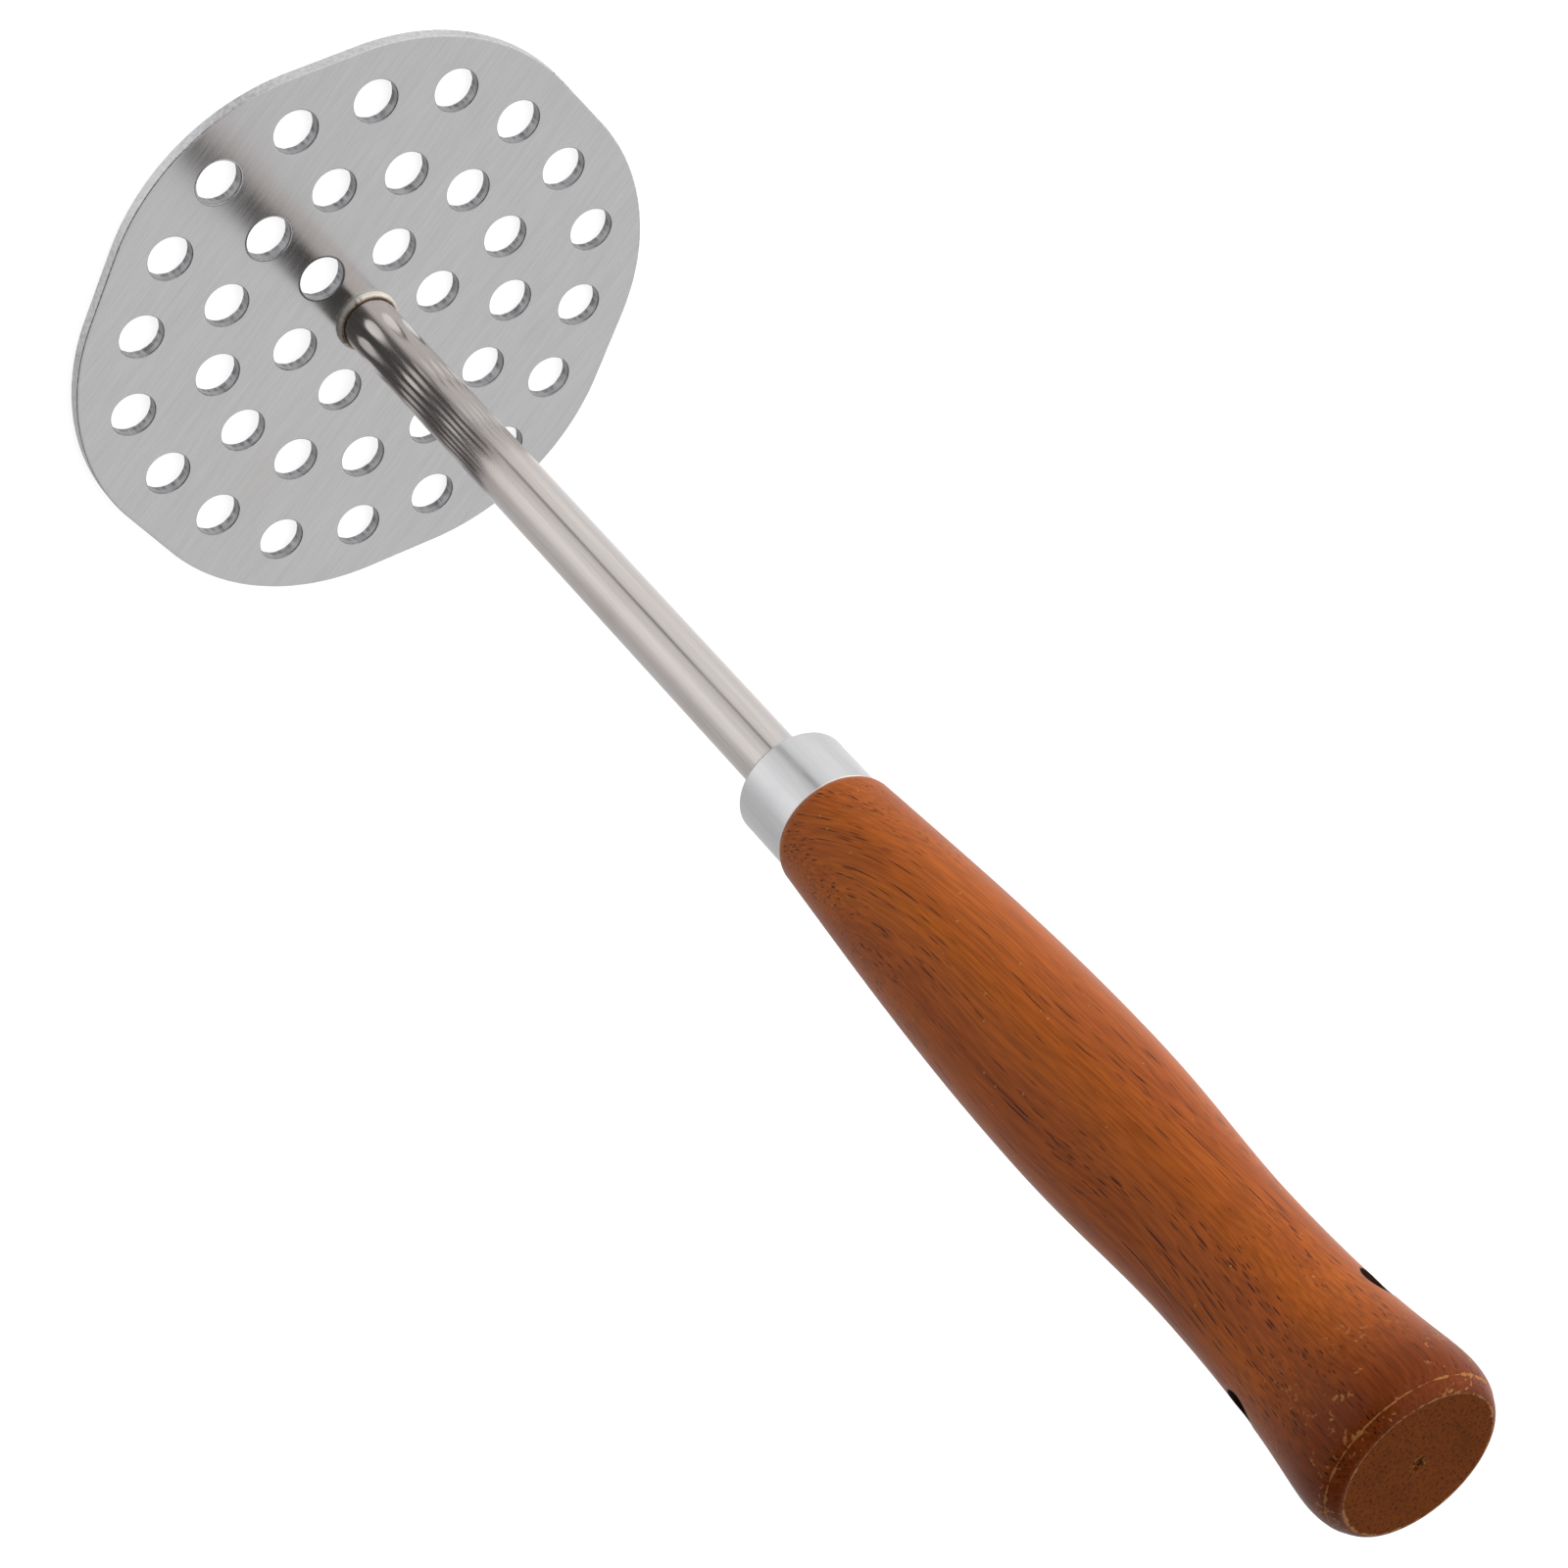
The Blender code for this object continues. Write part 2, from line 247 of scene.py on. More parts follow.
def add_node(tree, kind, feeds=None, **settings):
    """A shader node with its settings. feeds gives an input's value, or the output it is fed by."""
    node = tree.nodes.new("ShaderNode" + kind)
    for name, value in settings.items():
        setattr(node, name, value)
    for name, value in (feeds or {}).items():
        if isinstance(value, bpy.types.NodeSocket):
            tree.links.new(value, node.inputs[name])
        else:
            node.inputs[name].default_value = value
    return node


def maths(tree, operation, first, second=0.0):
    """One sum on two numbers or number outputs."""
    return add_node(tree, "Math", {0: first, 1: second}, operation=operation).outputs[0]


def blend_colour(tree, share, low, high, mode="MIX"):
    """Mixes two colours, each a colour output or three numbers."""
    node = add_node(tree, "Mix", data_type="RGBA", blend_type=mode)
    for socket, value in ((node.inputs[6], low), (node.inputs[7], high), (node.inputs[0], share)):
        if isinstance(value, bpy.types.NodeSocket):
            tree.links.new(value, socket)
        else:
            socket.default_value = (*value, 1.0) if isinstance(value, tuple) else value
    return node.outputs[2]


def tint(tree, tone, where, strength, colour):
    """Lays a colour over a tone wherever a pattern is 1, as strongly as given."""
    return blend_colour(tree, maths(tree, "MULTIPLY", where, strength), tone, colour)


def spread(tree, value, low, high, to_low=0.0, to_high=1.0):
    """Stretches the range low to high out to another range, smoothly and with nothing beyond it."""
    feeds = {"Value": value, 1: low, 2: high, 3: to_low, 4: to_high}
    return add_node(tree, "MapRange", feeds, interpolation_type="SMOOTHSTEP").outputs[0]


def object_place(tree):
    """The place on the object, in metres."""
    return add_node(tree, "TexCoord").outputs["Object"]


def height_up(tree):
    """Height up the masher from the plate's underside."""
    return add_node(tree, "SeparateXYZ", {0: object_place(tree)}).outputs["Z"]


def turned_place(tree, rotation):
    """The place on the object, with the frame turned so that X runs along the lines of a finish."""
    feeds = {"Vector": object_place(tree), "Rotation": rotation}
    return add_node(tree, "Mapping", feeds, vector_type="POINT").outputs[0]


def stretched(tree, place, rates):
    """A place counted at its own rate in each direction, so that a pattern on it is drawn out."""
    feeds = {"Vector": place, "Scale": rates}
    return add_node(tree, "Mapping", feeds, vector_type="POINT").outputs[0]


def patchy(tree, place, rate, detail):
    """Soft random patches, about rate of them to the metre."""
    return add_node(tree, "TexNoise", {"Vector": place, "Scale": rate, "Detail": detail}).outputs[0]


def bump(tree, shader, height, strength, distance):
    """Fine relief, distance deep where height is 1."""
    feeds = {"Height": height, "Strength": strength, "Distance": distance}
    tree.links.new(add_node(tree, "Bump", feeds).outputs[0], shader.inputs["Normal"])


def make_group(name, inputs, outputs):
    """An empty shader group with named number and vector sockets."""
    group = bpy.data.node_groups.new(name, "ShaderNodeTree")
    for socket, kind, default in inputs:
        made = group.interface.new_socket(socket, in_out="INPUT", socket_type="NodeSocket" + kind)
        if kind == "Float":
            made.default_value = default
    for socket, kind in outputs:
        group.interface.new_socket(socket, in_out="OUTPUT", socket_type="NodeSocket" + kind)
    return group, group.nodes.new("NodeGroupInput"), group.nodes.new("NodeGroupOutput")


def make_polish_lines():
    """Long fine lines that an abrasive belt leaves: even ones, and a few that are deeper."""
    group, given, result = make_group(
        "polish_lines",
        [("Place", "Vector", None), ("Along", "Float", 50.0), ("Across", "Float", 2500.0)],
        [("Lines", "Float"), ("Deep Lines", "Float")],
    )
    feeds = {0: given.outputs["Along"], 1: given.outputs["Across"], 2: given.outputs["Across"]}
    rate = add_node(group, "CombineXYZ", feeds).outputs[0]
    feeds = {0: given.outputs["Place"], 1: rate}
    place = add_node(group, "VectorMath", feeds, operation="MULTIPLY").outputs[0]
    even = patchy(group, place, 1.0, 3.0)
    few = patchy(group, place, 0.37, 1.0)
    group.links.new(even, result.inputs["Lines"])
    group.links.new(spread(group, few, 0.62, 0.75), result.inputs["Deep Lines"])
    return group


def make_stray_marks():
    """Small marks scattered far apart, each with a ragged edge."""
    group, given, result = make_group(
        "stray_marks",
        [("Place", "Vector", None), ("Marks per Metre", "Float", 200.0),
         ("Share", "Float", 0.1), ("Size", "Float", 0.15)],
        [("Marks", "Float")],
    )
    place, rate = given.outputs["Place"], given.outputs["Marks per Metre"]
    ragged = patchy(group, place, 4000.0, 2.0)
    feeds = {"Vector": place, "Scale": rate, "Randomness": 1.0}
    cells = add_node(group, "TexVoronoi", feeds)
    chance = add_node(group, "SeparateColor", {0: cells.outputs["Color"]}).outputs[0]
    chosen = maths(group, "LESS_THAN", chance, given.outputs["Share"])
    wander = maths(group, "MULTIPLY", ragged, given.outputs["Size"])
    reach = maths(group, "ADD", cells.outputs["Distance"], wander)
    inside = maths(group, "LESS_THAN", reach, given.outputs["Size"])
    group.links.new(maths(group, "MULTIPLY", chosen, inside), result.inputs["Marks"])
    return group


def use_group(tree, group, **inputs):
    """Places a shader group with its own values. In an input's name, _ stands for a space."""
    node = add_node(tree, "Group", node_tree=group)
    for name, value in inputs.items():
        socket = node.inputs[name.replace("_", " ")]
        if isinstance(value, bpy.types.NodeSocket):
            tree.links.new(value, socket)
        else:
            socket.default_value = value
    return node.outputs


polish_lines = make_polish_lines()
stray_marks = make_stray_marks()


def brushed_face():
    """Brushed stainless sheet: fine lines in one direction, and a faint brown stain."""
    finish, tree, shader = new_finish("brushed_stainless", (0.60, 0.60, 0.60), 1.0, 0.3)
    place = turned_place(tree, (0.0, 0.0, -BRUSH_TURN))
    fine = use_group(tree, polish_lines, Place=place, Along=150.0, Across=2400.0)
    broad = use_group(tree, polish_lines, Place=place, Along=40.0, Across=420.0)
    cloud = patchy(tree, place, 28.0, 3.0)

    steel = blend_colour(tree, spread(tree, fine["Lines"], 0.25, 0.75), (0.553, 0.547, 0.551),
                         (0.614, 0.608, 0.610))
    shade = blend_colour(tree, spread(tree, broad["Lines"], 0.3, 0.7), (0.98, 0.98, 0.98),
                         (1.015, 1.015, 1.015))
    steel = blend_colour(tree, 1.0, steel, shade, "MULTIPLY")
    steel = tint(tree, steel, fine["Deep Lines"], 0.12, (0.40, 0.40, 0.41))
    feeds = {0: object_place(tree), 1: (30.0 * MM, 16.0 * MM, PLATE_TOP)}
    away = add_node(tree, "VectorMath", feeds, operation="DISTANCE").outputs["Value"]
    stain = maths(tree, "MULTIPLY", spread(tree, away, 13.0 * MM, 1.0 * MM),
                  spread(tree, cloud, 0.4, 0.65))
    steel = tint(tree, steel, stain, 0.35, (0.50, 0.42, 0.33))
    specks = use_group(tree, stray_marks, Place=object_place(tree), Marks_per_Metre=130.0,
                       Share=0.10, Size=0.035)["Marks"]
    steel = tint(tree, steel, specks, 0.5, (0.28, 0.26, 0.25))
    tree.links.new(steel, shader.inputs["Base Color"])
    tree.links.new(spread(tree, fine["Lines"], 0.2, 0.8, 0.18, 0.23), shader.inputs["Roughness"])
    shader.inputs["Anisotropic"].default_value = 0.92
    shader.inputs["Anisotropic Rotation"].default_value = 0.25
    tangent = add_node(tree, "Tangent", direction_type="UV_MAP", uv_map="brush_direction")
    tree.links.new(tangent.outputs[0], shader.inputs["Tangent"])
    bump(tree, shader, fine["Lines"], 0.08, 0.02 * MM)
    return finish


def ground_rim():
    """The rim after hand grinding: bright, with short marks across it and dark nicks."""
    finish, tree, shader = new_finish("ground_rim", (0.72, 0.72, 0.74), 1.0, 0.38)
    place = object_place(tree)
    marks = patchy(tree, place, 1500.0, 4.0)
    patches = patchy(tree, place, 190.0, 2.0)
    steel = blend_colour(tree, spread(tree, marks, 0.35, 0.65), (0.54, 0.54, 0.55), (0.70, 0.70, 0.71))
    nicks = maths(tree, "MULTIPLY", spread(tree, marks, 0.57, 0.62), spread(tree, patches, 0.60, 0.68))
    steel = tint(tree, steel, nicks, 0.8, (0.18, 0.175, 0.18))
    tree.links.new(steel, shader.inputs["Base Color"])
    tree.links.new(spread(tree, marks, 0.3, 0.7, 0.3, 0.5), shader.inputs["Roughness"])
    bump(tree, shader, marks, 0.2, 0.04 * MM)
    return finish


def torn_wall():
    """The wall of a punched hole: a smooth sheared band above, darker torn steel below."""
    finish, tree, shader = new_finish("torn_hole_wall", (0.34, 0.34, 0.35), 1.0, 0.42)
    place = stretched(tree, object_place(tree), (1400.0, 1400.0, 260.0))
    streaks = patchy(tree, place, 1.0, 3.0)
    sheared = spread(tree, height_up(tree), 0.9 * MM, 1.3 * MM)
    steel = blend_colour(tree, spread(tree, streaks, 0.35, 0.7), (0.16, 0.16, 0.165), (0.42, 0.42, 0.44))
    steel = tint(tree, steel, sheared, 0.5, (0.42, 0.42, 0.43))
    tree.links.new(steel, shader.inputs["Base Color"])
    tree.links.new(spread(tree, streaks, 0.3, 0.7, 0.3, 0.5), shader.inputs["Roughness"])
    bump(tree, shader, streaks, 0.5, 0.06 * MM)
    return finish


plate = add_piece("punched_plate", build_plate(), brushed_face(), ground_rim(), torn_wall())
plate.modifiers.new("flat faces stay flat", "WEIGHTED_NORMAL").keep_sharp = True
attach(plate, "root")
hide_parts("plate")


# ---- Tube ----------------------------------------------------------------------------------------
# A straight stainless tube, drawn and polished lengthwise. It is welded to the plate at one end,
# and its other end sits deep in the handle.
tube_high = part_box("shaft_tube")[1]
TUBE_RADIUS = tube_high.x
TUBE_END = tube_high.z
TUBE_WALL = 1.0 * MM
TUBE_STEPS = 96
TUBE_ROWS = 60


def turned(name, outline, steps, finish_of=None, close=True):
    """What a lathe makes of an outline of (radius, height) points. finish_of picks each row's finish."""
    bm = bmesh.new()
    rings = []
    for radius, height in outline:
        turns = [2 * math.pi * step / steps for step in range(steps)]
        rings.append(add_ring(bm, [polar(radius, turn) for turn in turns], height))
    for row, (first, second) in enumerate(zip(rings, rings[1:])):
        bridge(bm, first, second, finish_of(row) if finish_of else 0)
    if close:
        bridge(bm, rings[-1], rings[0])
    bmesh.ops.recalc_face_normals(bm, faces=bm.faces)
    mesh = bpy.data.meshes.new(name)
    bm.to_mesh(mesh)
    bm.free()
    mesh.set_sharp_from_angle(angle=math.radians(40))
    return mesh


def tube_outline():
    """Outside from foot to end, then back down the inside."""
    heights = [PLATE_TOP + (TUBE_END - PLATE_TOP) * k / TUBE_ROWS for k in range(TUBE_ROWS + 1)]
    outside = [(TUBE_RADIUS, height) for height in heights]
    inside = [(TUBE_RADIUS - TUBE_WALL, height) for height in reversed(heights)]
    return outside + inside


def polished_tube():
    """Satin stainless with a warm cast, fine lines along it and a few dark specks."""
    finish, tree, shader = new_finish("satin_stainless_tube", (0.60, 0.56, 0.54), 1.0, 0.16)
    place = turned_place(tree, (0.0, math.pi / 2, 0.0))
    fine = use_group(tree, polish_lines, Place=place, Along=45.0, Across=2600.0)
    cloud = patchy(tree, place, 60.0, 4.0)
    steel = blend_colour(tree, fine["Lines"], (0.53, 0.485, 0.46), (0.70, 0.66, 0.64))
    steel = tint(tree, steel, spread(tree, cloud, 0.5, 0.75), 0.35, (0.52, 0.45, 0.40))
    specks = use_group(tree, stray_marks, Place=place, Marks_per_Metre=210.0, Share=0.12,
                       Size=0.10)["Marks"]
    steel = tint(tree, steel, specks, 0.6, (0.22, 0.19, 0.17))
    tree.links.new(steel, shader.inputs["Base Color"])
    tree.links.new(spread(tree, fine["Lines"], 0.25, 0.75, 0.11, 0.2), shader.inputs["Roughness"])
    bump(tree, shader, fine["Lines"], 0.06, 0.02 * MM)
    return finish


tube = add_piece("polished_tube", turned("polished_tube", tube_outline(), TUBE_STEPS), polished_tube())
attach(tube, "root")
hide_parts("shaft_tube")


# ---- Weld ----------------------------------------------------------------------------------------
# A narrow fillet run round the foot of the tube. Heat has tinted it straw and brown; the palest line at
# its outer edge is a painted highlight, and its nearly black root against the tube is painted shade.
weld_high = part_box("weld_bead")[1]
WELD_RADIUS = weld_high.x
WELD_RISE = weld_high.z - PLATE_TOP
WELD_RIPPLE = 0.10                    # how much a drop swells the run
WELD_SINK = 0.02 * MM                 # into the plate and the tube, so that no gap shows
WELD_ROOT = 0.3 * MM                  # depth of its hidden root in the tube's wall
WELD_STEPS = 128
WELD_ROWS = 10


def build_weld():
    """A rounded fillet with the small ripples of a run that was laid drop by drop."""
    bm = bmesh.new()
    width = WELD_RADIUS - TUBE_RADIUS
    turns = [2 * math.pi * step / WELD_STEPS for step in range(WELD_STEPS)]
    rings = []
    for row in range(WELD_ROWS + 1):
        angle = math.pi / 2 * row / WELD_ROWS
        ring = []
        for turn in turns:
            ripple = noise.noise(Vector((math.cos(turn), math.sin(turn), 0.0)) * 9.0)
            grow = 1.0 + WELD_RIPPLE * ripple * math.sin(2 * angle)
            spot = polar(TUBE_RADIUS + width * grow * math.cos(angle) - WELD_SINK, turn)
            height = PLATE_TOP + WELD_RISE * grow * math.sin(angle) - WELD_SINK
            ring += add_ring(bm, [spot], height)
        rings.append(ring)
    root = [polar(TUBE_RADIUS - WELD_ROOT, turn) for turn in turns]
    rings.append(add_ring(bm, root, PLATE_TOP - WELD_SINK))
    for first, second in zip(rings, rings[1:] + rings[:1]):
        bridge(bm, first, second)
    bmesh.ops.recalc_face_normals(bm, faces=bm.faces)
    mesh = bpy.data.meshes.new("weld_run")
    bm.to_mesh(mesh)
    bm.free()
    return mesh


def span(tree, across, along):
    """The straight distance that two steps at right angles make."""
    step = add_node(tree, "CombineXYZ", {0: across, 1: along, 2: 0.0}).outputs[0]
    return add_node(tree, "VectorMath", {0: step}, operation="LENGTH").outputs["Value"]


def from_axis(tree, place):
    """Distance of a place from the masher's long axis."""
    parts = add_node(tree, "SeparateXYZ", {0: place})
    return span(tree, parts.outputs["X"], parts.outputs["Y"])


def weld_tint_and_painted_light():
    """Straw to brown to nearly black, from the outer edge of the weld to its root: heat tint, with a
    painted highlight on the outer edge and painted shade at the root.
    """
    finish, tree, shader = new_finish("heat_tinted_weld", (0.62, 0.52, 0.38), 0.4, 0.3)
    mottle = patchy(tree, object_place(tree), 900.0, 2.0)
    uneven = maths(tree, "MULTIPLY", mottle, 0.25 * MM)
    reach = maths(tree, "ADD", from_axis(tree, object_place(tree)), uneven)
    share = spread(tree, reach, TUBE_RADIUS + 0.1 * MM, WELD_RADIUS + 0.1 * MM)
    ramp = add_node(tree, "ValToRGB", {0: share})
    colours = ramp.color_ramp
    # The near-black root is painted shade in the crease against the tube, and the pale outer end is a
    # painted highlight; the browns and straw between are heat tint.
    colours.elements[0].color = (0.07, 0.045, 0.03, 1.0)
    colours.elements[1].color = (0.88, 0.85, 0.77, 1.0)
    colours.elements.new(0.25).color = (0.24, 0.17, 0.12, 1.0)
    colours.elements.new(0.5).color = (0.48, 0.40, 0.33, 1.0)
    colours.elements.new(0.72).color = (0.74, 0.68, 0.58, 1.0)
    tree.links.new(ramp.outputs[0], shader.inputs["Base Color"])
    tree.links.new(spread(tree, mottle, 0.3, 0.7, 0.12, 0.3), shader.inputs["Roughness"])
    bump(tree, shader, mottle, 0.3, 0.05 * MM)
    return finish


weld = add_piece("weld_run", build_weld(), weld_tint_and_painted_light())
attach(weld, "root")
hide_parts("weld_bead")


# ---- Ferrule -------------------------------------------------------------------------------------
# A drawn aluminium cup, pushed over the end of the handle. The tube passes through its front, and
# its open back edge is trimmed and pale, and painted brighter still as a painted highlight.
ferrule_low, ferrule_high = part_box("ferrule")
FERRULE_RADIUS = ferrule_high.x
FERRULE_FRONT = ferrule_low.z
FERRULE_BACK = ferrule_high.z
FERRULE_WALL = 0.8 * MM
FERRULE_EDGE = 0.7 * MM
FERRULE_HOLE_GAP = 0.15 * MM          # round the tube
FERRULE_HOLE_BEVEL = 0.15 * MM
LIP_RADIUS = 0.18 * MM
FERRULE_STEPS = 128
ROUND_STEPS = 6


def arc(centre, across, along, first, last, steps=ROUND_STEPS):
    """Points round an edge in the (radius, height) plane, from angle first to angle last."""
    angles = [first + (last - first) * step / steps for step in range(steps + 1)]
    return [(centre[0] + across * math.cos(a), centre[1] + along * math.sin(a)) for a in angles]


def ferrule_outline():
    """From the inside of the front, out through the hole's edge, back along the outside and in."""
    quarter = math.pi / 2
    hole = TUBE_RADIUS + FERRULE_HOLE_GAP
    inner = FERRULE_RADIUS - FERRULE_WALL
    inner_front = FERRULE_FRONT + FERRULE_WALL
    lip = (FERRULE_RADIUS - LIP_RADIUS, FERRULE_BACK - LIP_RADIUS)
    front = (FERRULE_RADIUS - FERRULE_EDGE, FERRULE_FRONT + FERRULE_EDGE)
    outline = [(hole, inner_front), (hole, FERRULE_FRONT + FERRULE_HOLE_BEVEL)]
    outline += [(hole + FERRULE_HOLE_BEVEL, FERRULE_FRONT)]
    outline += arc(front, FERRULE_EDGE, FERRULE_EDGE, -quarter, 0.0)
    outline += [(FERRULE_RADIUS, (FERRULE_FRONT + FERRULE_BACK) / 2)]
    outline += arc(lip, LIP_RADIUS, LIP_RADIUS, 0.0, quarter)
    outline += [(inner, FERRULE_BACK), (inner, inner_front)]
    return outline


def satin_aluminium():
    """Satin aluminium with faint lines along it, small dull patches and a pale trimmed lip that is also a
    painted highlight.
    """
    finish, tree, shader = new_finish("satin_aluminium", (0.78, 0.79, 0.80), 1.0, 0.24)
    place = turned_place(tree, (0.0, math.pi / 2, 0.0))
    fine = use_group(tree, polish_lines, Place=place, Along=90.0, Across=1500.0)
    cloud = patchy(tree, place, 140.0, 3.0)
    metal = blend_colour(tree, fine["Lines"], (0.60, 0.60, 0.61), (0.71, 0.71, 0.72))
    metal = tint(tree, metal, spread(tree, cloud, 0.5, 0.7), 0.15, (0.54, 0.54, 0.56))
    # The back lip is pale trimmed metal and also a painted highlight: bright cream and barely metallic.
    pale_lip_and_highlight = spread(tree, height_up(tree), FERRULE_BACK - 1.6 * LIP_RADIUS,
                     FERRULE_BACK - 0.8 * LIP_RADIUS)
    metal = blend_colour(tree, pale_lip_and_highlight, metal, (0.93, 0.84, 0.72))
    tree.links.new(spread(tree, pale_lip_and_highlight, 0.0, 1.0, 1.0, 0.25), shader.inputs["Metallic"])
    tree.links.new(metal, shader.inputs["Base Color"])
    tree.links.new(spread(tree, cloud, 0.3, 0.7, 0.2, 0.3), shader.inputs["Roughness"])
    bump(tree, shader, fine["Lines"], 0.05, 0.02 * MM)
    return finish


ferrule = add_piece("drawn_ferrule", turned("drawn_ferrule", ferrule_outline(), FERRULE_STEPS),
                    satin_aluminium())
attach(ferrule, "root")
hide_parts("ferrule")


# ---- Handle --------------------------------------------------------------------------------------
# Turned hardwood, stained reddish brown under a thin satin varnish, with a cross-drilled hanging
# hole. The flat butt is bare end grain, with the torn pit that the lathe centre left.
handle_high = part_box("handle")[1]
BUTT = handle_high.z
FIT_GAP = 0.1 * MM                    # round the tenon, and round the tube in its bore
TENON_GAP = 0.3 * MM                  # between the tenon and the ferrule's front
BORE_PAST_TUBE = 3.0 * MM
SHOULDER = FERRULE_BACK + 0.05 * MM
SHOULDER_LIP = FERRULE_RADIUS - 0.45 * MM
SHOULDER_ROUND = 2.0 * MM
NECK_RADIUS = 10.05 * MM
NECK_FLARE = 0.075
BELLY_RADIUS = 13.3 * MM
BELLY_FROM_SHOULDER = 66.0 * MM
WAIST_RADIUS = 11.9 * MM
WAIST_FROM_BUTT = 41.3 * MM
BULB_RADIUS = handle_high.x
BULB_FROM_BUTT = 5.8 * MM
BAND_WIDTH = 1.6 * MM
BAND_LENGTH = 1.8 * MM
DISC_RADIUS = 11.9 * MM
BAND_SLOPE = -0.73
BAND_WEAR = 0.30 * MM                 # width of the rubbed line round the band
DISC_WEAR = 0.22 * MM                 # and of the one round the disc
HANG_HOLE_RADIUS = 2.9 * MM
HANG_HOLE_FROM_BUTT = 22.3 * MM
HANG_HOLE_OFF_CENTRE = 2.2 * MM       # drilled to one side of the handle's axis, towards -Y
HANG_HOLE_ROUND = 0.3 * MM
HANG_HOLE_STEPS = 64
DRILL_PAST = 1.0 * MM                 # how far the drill comes out on each side
HANDLE_STEPS = 160
STRETCH_POINTS = 40
PIT_RADIUS = 1.1 * MM
PIT_DEPTH = 0.9 * MM
PIT_RAG = 0.45 * MM                   # size of the torn fibres round it
AXIS = 0.0001 * MM                    # radius of a ring that closes to a point on the axis
CLOSE = 0.001 * MM                    # places this near count as the same
VARNISHED, END_GRAIN = range(2)


def stretch(start, end, hold_start, hold_end, start_slope=0.0, end_slope=0.0):
    """One stretch of the turned curve, which leaves start and reaches end at the given slopes."""
    length = end[1] - start[1]
    after_start = (start[0] + start_slope * hold_start * length, start[1] + hold_start * length)
    before_end = (end[0] - end_slope * hold_end * length, end[1] - hold_end * length)
    corners = [Vector((*point, 0.0)) for point in (start, after_start, before_end, end)]
    return [(point.x, point.y) for point in interpolate_bezier(*corners, STRETCH_POINTS)][1:]


def handle_curve():
    """The outside of the wood from its shoulder to the edge of the butt's flat disc."""
    neck = (NECK_RADIUS, SHOULDER + SHOULDER_ROUND)
    belly = (BELLY_RADIUS, SHOULDER + BELLY_FROM_SHOULDER)
    waist = (WAIST_RADIUS, BUTT - WAIST_FROM_BUTT)
    bulb = (BULB_RADIUS, BUTT - BULB_FROM_BUTT)
    band = (DISC_RADIUS + BAND_WIDTH, BUTT - BAND_LENGTH)
    curve = arc((SHOULDER_LIP, neck[1]), NECK_RADIUS - SHOULDER_LIP, SHOULDER_ROUND, -math.pi / 2, 0.0)
    curve += stretch(neck, belly, 0.33, 0.37, start_slope=NECK_FLARE)
    curve += stretch(belly, waist, 0.43, 0.34)
    curve += stretch(waist, bulb, 0.68, 0.14)
    curve += stretch(bulb, band, 0.45, 0.15, end_slope=BAND_SLOPE)
    curve += [(DISC_RADIUS + BAND_WIDTH * share, BUTT - BAND_LENGTH * share * share)
              for share in (0.8, 0.6, 0.4, 0.2)]
    return curve


def handle_outline():
    """From the end of the bore, out round the tenon, along the wood and in to the butt's middle.
    Also returns how many of its points come before the disc of the butt."""
    tenon = FERRULE_RADIUS - FERRULE_WALL - FIT_GAP
    tenon_front = FERRULE_FRONT + FERRULE_WALL + TENON_GAP
    bore = TUBE_RADIUS + FIT_GAP
    bore_end = TUBE_END + BORE_PAST_TUBE
    outline = [(AXIS, bore_end), (bore, bore_end), (bore, tenon_front)]
    outline += [(tenon, tenon_front), (tenon, SHOULDER)]
    outline += handle_curve()
    disc = [DISC_RADIUS * share for share in (1.0, 0.99, 0.97, 0.8, 0.6, 0.4, 0.3, 0.22)]
    pit = [PIT_RADIUS * share for share in (1.8, 1.5, 1.25, 1.0, 0.85, 0.7, 0.55, 0.4, 0.25, 0.1)]
    return outline + [(radius, BUTT) for radius in disc + pit], len(outline)


def close_on_axis(bm, height):
    """Draws the small ring at a height together to one point."""
    ring = [v for v in bm.verts if abs(v.co.z - height) < CLOSE and v.co.xy.length < 0.2 * MM]
    bmesh.ops.pointmerge(bm, verts=ring, merge_co=(0.0, 0.0, height))


def tear_pit(bm):
    """Sinks the middle of the butt where the lathe centre held it, with torn sides."""
    for vert in bm.verts:
        from_centre = vert.co.xy.length
        if vert.co.z > BUTT - CLOSE and from_centre < 2 * PIT_RADIUS:
            rag = noise.noise(vert.co / PIT_RAG)
            deep = max(0.0, 1.0 - from_centre / PIT_RADIUS * (1.0 + 0.7 * rag))
            vert.co.z -= PIT_DEPTH * min(1.0, 1.6 * deep) * (0.7 + 0.3 * rag)


def build_handle():
    """The turned wood with its hidden tenon, and the disc of the butt in fine rings round its pit."""
    outline, first_of_disc = handle_outline()
    mesh = turned("turned_handle", outline, HANDLE_STEPS,
                  lambda row: END_GRAIN if row >= first_of_disc else VARNISHED, close=False)
    bm = bmesh.new()
    bm.from_mesh(mesh)
    close_on_axis(bm, outline[0][1])
    close_on_axis(bm, BUTT)
    tear_pit(bm)
    bmesh.ops.recalc_face_normals(bm, faces=bm.faces)
    bm.to_mesh(mesh)
    bm.free()
    mesh.set_sharp_from_angle(angle=math.radians(40))
    return mesh


